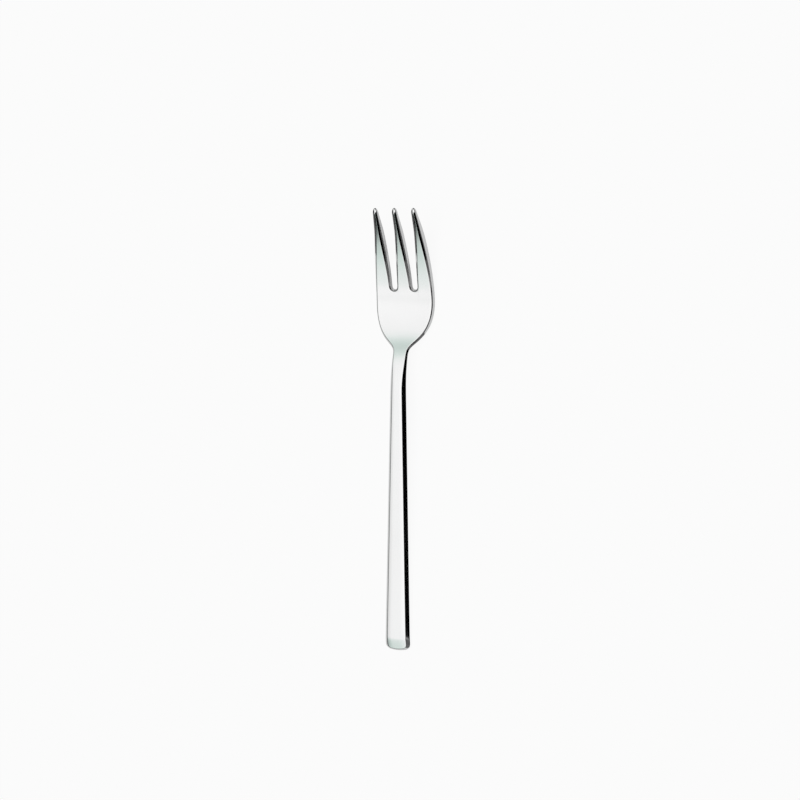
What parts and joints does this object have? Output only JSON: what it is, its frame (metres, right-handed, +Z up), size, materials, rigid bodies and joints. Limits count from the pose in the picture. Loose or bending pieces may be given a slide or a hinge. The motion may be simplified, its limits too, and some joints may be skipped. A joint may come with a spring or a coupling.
{
  "type": "dessert fork",
  "caption": "Slim polished steel dessert fork with a tapered, bevelled handle, an arched neck, a small flat bowl and pointed tines, for eating cake and pastry.",
  "frame": {"origin": "middle of the fork's box, at the height of the table it lies on", "axes": "+Y from the end of the handle towards the tines, +Z up out of the bowl, X across the tines"},
  "size_m": [0.0224, 0.1554, 0.0126],
  "materials": {
    "steel": "polished"
  },
  "bodies": {
    "root": {"fork": "steel"}
  },
  "joints": []
}
